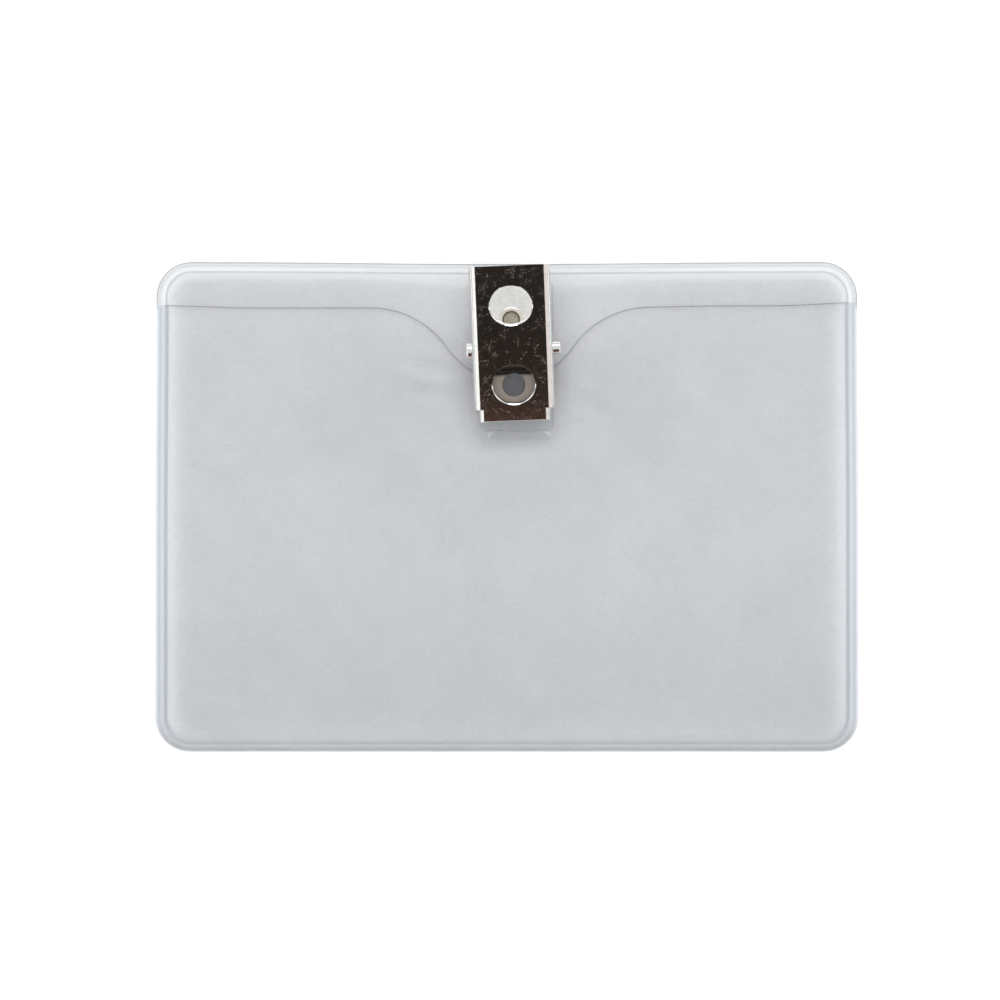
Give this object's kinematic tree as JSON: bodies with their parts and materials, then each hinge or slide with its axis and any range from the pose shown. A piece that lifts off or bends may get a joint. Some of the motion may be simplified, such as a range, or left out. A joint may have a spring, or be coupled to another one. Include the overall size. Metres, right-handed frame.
{
  "type": "badge holder with lever clip",
  "caption": "Clear plastic horizontal badge pouch with welded edges, a thumb notch and a riveted two-hole metal lever clip.",
  "frame": {"origin": "middle of the pouch's outline, on the plane the pouch lies on", "axes": "+X along the pouch's long side, +Y towards the open edge and the clip, +Z out of the face that carries the clip"},
  "size_m": [0.096, 0.0668, 0.0146],
  "materials": {
    "clear_film": "clear glossy flexible film",
    "plated_steel": "bright nickel plate with fine scratches",
    "spring_strip": "dark rolled spring strip"
  },
  "bodies": {
    "pouch": {"back_sheet": "clear_film", "front_sheet": "clear_film", "edge_weld": "clear_film", "clip_patch": "clear_film", "eyelet": "plated_steel"},
    "clip_base": {"lower_jaw": "plated_steel", "hinge_pin": "plated_steel", "flat_spring": "spring_strip"},
    "thumb_lever": {"upper_jaw": "plated_steel", "left_flange": "plated_steel", "right_flange": "plated_steel"}
  },
  "joints": [
    {"name": "clip_swivel", "type": "hinge", "parent": "pouch", "child": "clip_base", "pos_m": [0.0006, 0.0255, 0.0021], "axis": [0, 0, 1], "continuous": true},
    {"name": "jaw_open", "type": "hinge", "parent": "clip_base", "child": "thumb_lever", "pos_m": [0.00076, 0.02146, 0.0055], "axis": [-0.9992, -0.0401, 0], "range_deg": [0, 35], "stiffness_Nm_per_rad": 0.08, "springref_deg": -42.97, "deforming": ["flat_spring"]}
  ]
}
